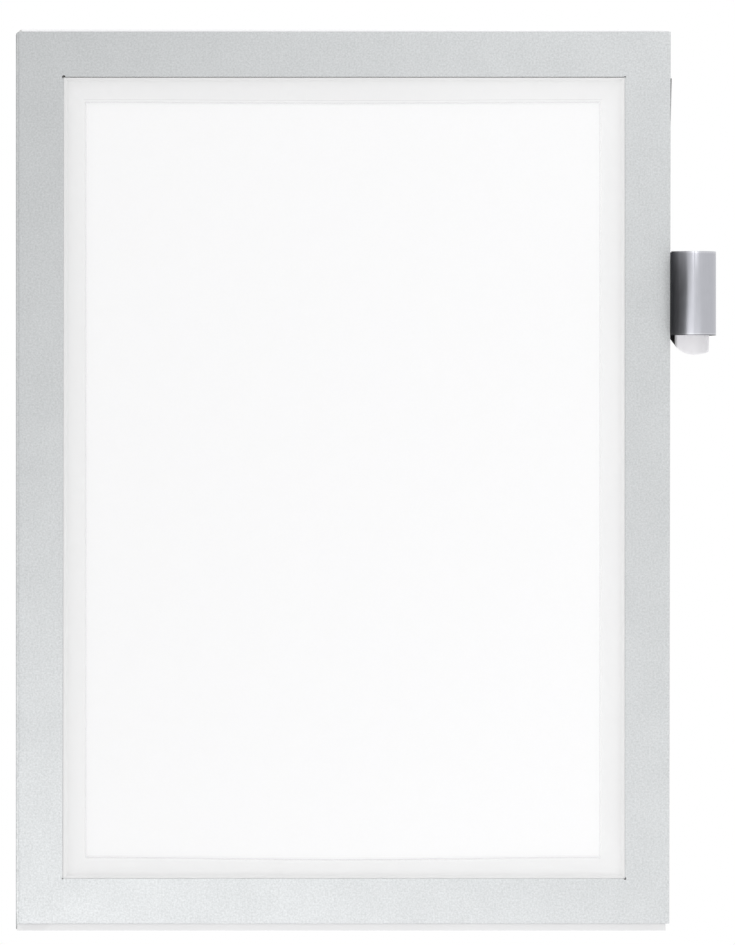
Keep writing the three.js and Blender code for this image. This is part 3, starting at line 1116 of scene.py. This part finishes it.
def black_foam():
    """Black foam rubber: dull, nearly without gloss, with fine cells."""
    material, tree, coords = start_material("black_foam_rubber")
    cells = add_node(tree, "ShaderNodeTexVoronoi", {"Vector": coords, "Scale": 1 / PAD_CELL})
    shade = add_node(tree, "ShaderNodeMix", {
        0: cells.outputs["Distance"],
        6: linear("#1D1D1E"),
        7: linear("#121213"),
    }, data_type="RGBA")
    end_material(tree, {"Base Color": shade.outputs[2], "Roughness": 0.92, "Specular IOR Level": 0.2})
    return material


pad_low, pad_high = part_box("pen_sleeve_pad")
# Painted shade: the ear below the sleeve is a dark piece placed where shade falls.
pad = cut_film(
    "sleeve_pad_foam",
    ((
        (pad_low.x, sleeve_low.z - PAD_SHADE_EAR_DROP),
        (front_high.x, sleeve_low.z - PAD_SHADE_EAR_DROP),
        (pad_high.x, pad_low.z),
        (pad_high.x, sleeve_high.z),
        (pad_low.x, sleeve_high.z),
    ),),
    pad_low.y,
    pad_high.y - pad_low.y,
    PAD_EDGE,
    black_foam(),
)
fit(pad, "rear_leaf", "black_foam", "pen_sleeve_pad")

# Pen liner: a roll of white plastic pushed into the sleeve, so that a pen doesn't rattle.
# Below the sleeve only its back is left, as a rounded tongue.
LINER_WALL = 0.5 * MM
LINER_EDGE = 0.12 * MM
LINER_COLUMNS = 132
LINER_FROM = math.radians(-150)
LINER_TO = math.radians(180)
LINER_RECESS = 0.5 * MM
LINER_ROWS = 10
TONGUE_RIGHT = 6.1 * MM
TONGUE_LEFT = 6.4 * MM
TONGUE_RADIUS = 9.4 * MM
TONGUE_FLAT_RADIUS = 15 * MM
TONGUE_OFFSET = 0.7 * MM
TONGUE_CORNER = 0.5 * MM
TONGUE_ROWS = 8
LINER_RIPPLE = 5 * MM
LEFT_SHADE = 0.7
LEFT_SHADE_WIDTH = 1.3 * MM


def white_polypropylene():
    """Polypropylene sheet: white, smooth and slightly waxy, with a faint ripple from forming.

    Its left side is darkened grey beside the black foam, as painted shade.
    """
    material, tree, coords = start_material("white_polypropylene")
    ripple = add_node(tree, "ShaderNodeTexNoise", {"Vector": coords, "Scale": 1 / LINER_RIPPLE, "Detail": 2})
    shade = add_node(tree, "ShaderNodeMix", {
        0: ripple.outputs["Fac"],
        6: linear("#FAF9FB"),
        7: linear("#F5F4F7"),
    }, data_type="RGBA")
    across = add_node(tree, "ShaderNodeSeparateXYZ", {"Vector": coords}).outputs["X"]
    # Painted shade: the liner darkens towards its left side.
    left_shade_mask = add_node(tree, "ShaderNodeMapRange", {
        "Value": across,
        "From Min": sleeve_axis.x - TONGUE_LEFT,
        "From Max": sleeve_axis.x - TONGUE_LEFT + LEFT_SHADE_WIDTH,
        "To Min": LEFT_SHADE,
        "To Max": 0.0,
    }, interpolation_type="SMOOTHSTEP")
    left_shaded = add_node(tree, "ShaderNodeMix", {
        0: left_shade_mask.outputs["Result"],
        6: shade.outputs[2],
        7: linear("#3A3A3C"),
    }, data_type="RGBA")
    waxy = add_node(tree, "ShaderNodeMapRange", {
        "Value": ripple.outputs["Fac"],
        "To Min": 0.3,
        "To Max": 0.42,
    })
    relief = add_node(tree, "ShaderNodeBump", {
        "Height": ripple.outputs["Fac"],
        "Distance": 0.05 * MM,
        "Strength": 0.4,
    })
    end_material(tree, {
        "Base Color": left_shaded.outputs[2],
        "Roughness": waxy.outputs["Result"],
        "Normal": relief.outputs["Normal"],
    })
    return material


liner_low, liner_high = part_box("pen_liner")
liner_radius = liner_high.x - sleeve_axis.x
roll_bottom = sleeve_low.z + LINER_RECESS
tongue_from = math.acos(TONGUE_RIGHT / liner_radius)
tongue_to = math.pi - math.acos(TONGUE_LEFT / liner_radius)
tongue_middle = sleeve_axis.x + TONGUE_OFFSET


def tongue_edge(angle):
    """Height of the tongue's lower edge at an angle round the roll."""
    across = sleeve_axis.x + liner_radius * math.cos(angle) - tongue_middle
    radius = TONGUE_FLAT_RADIUS if across > 0 else TONGUE_RADIUS
    edge = liner_low.z + radius - math.sqrt(radius ** 2 - across ** 2)
    inside = min(TONGUE_CORNER, liner_radius * (angle - tongue_from), liner_radius * (tongue_to - angle))
    return edge + TONGUE_CORNER - math.sqrt(TONGUE_CORNER ** 2 - (TONGUE_CORNER - inside) ** 2)


liner_turn = LINER_TO - LINER_FROM
tongue_columns = []
for tongue_side in (tongue_from, tongue_to):
    tongue_columns.append(round((tongue_side - LINER_FROM) / liner_turn * LINER_COLUMNS))
liner_shell = bmesh.new()
liner_columns = []
for index in range(LINER_COLUMNS + 1):
    angle = LINER_FROM + liner_turn * index / LINER_COLUMNS
    if index in tongue_columns:
        angle = (tongue_from, tongue_to)[tongue_columns.index(index)]
    x = sleeve_axis.x + liner_radius * math.cos(angle)
    y = sleeve_axis.y + liner_radius * math.sin(angle)
    heights = [liner_high.z + (roll_bottom - liner_high.z) * r / LINER_ROWS for r in range(LINER_ROWS + 1)]
    if tongue_columns[0] <= index <= tongue_columns[1]:
        drop = tongue_edge(angle) - roll_bottom
        heights += [roll_bottom + drop * r / TONGUE_ROWS for r in range(1, TONGUE_ROWS + 1)]
    liner_columns.append([liner_shell.verts.new((x, y, z)) for z in heights])
for first, second in zip(liner_columns, liner_columns[1:]):
    for row in range(min(len(first), len(second)) - 1):
        liner_shell.faces.new((first[row], first[row + 1], second[row + 1], second[row]))
liner = new_piece("pen_liner_roll")
liner_shell.to_mesh(liner.data)
liner_shell.free()
liner.data.materials.append(white_polypropylene())
liner_wall = liner.modifiers.new("thickness", "SOLIDIFY")
liner_wall.thickness = LINER_WALL
liner_wall.offset = -1
ease_edges(liner, LINER_EDGE)
settle(liner)
fit(liner, "rear_leaf", "liner_plastic", "pen_liner")

# Studio: a pale floor that only the camera sees, so that it doesn't shade the frame, a dark flag to the left
# that the steel reflects, and a white surround. The soft boxes in front face the frame squarely, and some
# light only its glossy or only its matt surfaces.
FLOOR_DROP = 80 * MM
FLOOR_SIZE = 1.1
FLOOR_SPECKLE = 10 / 3 * MM
FLAG_X = -0.6
FLAG_FRONT = -1.2
FLAG_BACK = 0.0
FLAG_FOOT = -0.32
FLAG_HEAD = 0.36
LAMP_DISTANCE = 0.7
AMBIENT = 0.8
scene = bpy.context.scene


def matt_floor():
    """Matt white laminate: pale and even, with a trace of texture."""
    material, tree, coords = start_material("matt_white_floor")
    speckle = add_node(tree, "ShaderNodeTexNoise", {
        "Vector": coords,
        "Scale": 1 / FLOOR_SPECKLE,
        "Detail": 2,
    })
    shade = add_node(tree, "ShaderNodeMix", {
        0: speckle.outputs["Fac"],
        6: linear("#F4F4F4"),
        7: linear("#F1F1F1"),
    }, data_type="RGBA")
    end_material(tree, {"Base Color": shade.outputs[2], "Roughness": 0.9, "Specular IOR Level": 0.1})
    return material


def stage_card(name, corners, material):
    """A flat card of the studio."""
    card = bpy.data.meshes.new(name)
    card.from_pydata(corners, [], [(0, 1, 2, 3)])
    card.materials.append(material)
    piece = new_piece(name, card)
    return piece


floor_level = cad_low.z - FLOOR_DROP
floor = stage_card("floor", [
    (-FLOOR_SIZE / 2, -FLOOR_SIZE / 2, floor_level),
    (FLOOR_SIZE / 2, -FLOOR_SIZE / 2, floor_level),
    (FLOOR_SIZE / 2, FLOOR_SIZE / 2, floor_level),
    (-FLOOR_SIZE / 2, FLOOR_SIZE / 2, floor_level),
], matt_floor())
floor.visible_glossy = False
floor.visible_diffuse = False
floor.visible_shadow = False

flag_black, flag_tree = start_material("black_flag")[:2]
end_material(flag_tree, {"Base Color": linear("#161616"), "Roughness": 0.9})
flag = stage_card("flag", [
    (FLAG_X, FLAG_FRONT, FLAG_FOOT),
    (FLAG_X, FLAG_BACK, FLAG_FOOT),
    (FLAG_X, FLAG_BACK, FLAG_HEAD),
    (FLAG_X, FLAG_FRONT, FLAG_HEAD),
], flag_black)
flag.visible_camera = False
flag.visible_diffuse = False
flag.visible_shadow = False


def soft_lamp(name, left, right, low, high, strength, lights=("gloss", "matt")):
    """A flat soft box, by its edges as seen from the front, that lights glossy or matt surfaces, or both."""
    lamp = bpy.data.lights.new(name, "AREA")
    lamp.shape = "RECTANGLE"
    lamp.size = right - left
    lamp.size_y = high - low
    lamp.energy = strength * math.pi * lamp.size * lamp.size_y
    holder = bpy.data.objects.new(name, lamp)
    holder.location = ((left + right) / 2, -LAMP_DISTANCE, (low + high) / 2)
    holder.rotation_euler = (math.pi / 2, 0, 0)
    holder.visible_camera = False
    holder.visible_glossy = "gloss" in lights
    holder.visible_diffuse = "matt" in lights
    scene.collection.objects.link(holder)


soft_lamp("low_left_lamp", -0.45, 0.13, -0.55, -0.2, 2.25, ("gloss",))
soft_lamp("low_paper_lamp", -0.13, 0.37, -0.7, -0.3, 2.0, ("matt",))
soft_lamp("high_right_lamp", 0.03, 0.36, 0.29, 0.7, 2.4)
soft_lamp("left_fill_lamp", -0.5, 0.0, -0.25, 0.03, 0.5, ("gloss",))
soft_lamp("right_fill_lamp", 0.15, 0.6, -0.35, -0.07, 0.5)
soft_lamp("sleeve_strip_lamp", 0.04, 0.1, -0.1, 0.25, 1.4)

world = bpy.data.worlds.new("white_surround")
world.use_nodes = True
scene.world = world
world.node_tree.nodes.clear()
path = add_node(world.node_tree, "ShaderNodeLightPath").outputs
shiny = add_node(world.node_tree, "ShaderNodeMath", {
    0: path["Is Glossy Ray"],
    1: path["Is Transmission Ray"],
}, operation="MAXIMUM")
shown = add_node(world.node_tree, "ShaderNodeMath", {
    0: path["Is Camera Ray"],
    1: shiny.outputs[0],
}, operation="MAXIMUM")
brightness = add_node(world.node_tree, "ShaderNodeMapRange", {
    "Value": shown.outputs[0],
    "To Min": AMBIENT,
    "To Max": 1.0,
})
surround = add_node(world.node_tree, "ShaderNodeBackground", {
    "Color": linear("#FFFFFF"),
    "Strength": brightness.outputs["Result"],
})
add_node(world.node_tree, "ShaderNodeOutputWorld", {"Surface": surround.outputs["Background"]})

# Camera: straight on, from far off, so that the frame has no visible perspective.
# The frame's centre is off the picture's centre, because the sleeve stands out on the right.
PICTURE_WIDTH = 735
PICTURE_HEIGHT = 945
PIXELS_PER_METRE = 2771
CENTRE_PIXEL = (342.8, 479.5)
CAMERA_DISTANCE = 2.6

camera_data = bpy.data.cameras.new("camera")
camera_data.lens = camera_data.sensor_width * CAMERA_DISTANCE * PIXELS_PER_METRE / PICTURE_HEIGHT
camera = bpy.data.objects.new("camera", camera_data)
camera.location = (
    (PICTURE_WIDTH / 2 - CENTRE_PIXEL[0]) / PIXELS_PER_METRE,
    front_low.y - CAMERA_DISTANCE,
    (CENTRE_PIXEL[1] - PICTURE_HEIGHT / 2) / PIXELS_PER_METRE,
)
camera.rotation_euler = (math.pi / 2, 0, 0)
scene.collection.objects.link(camera)
scene.camera = camera
scene.view_settings.view_transform = "Standard"
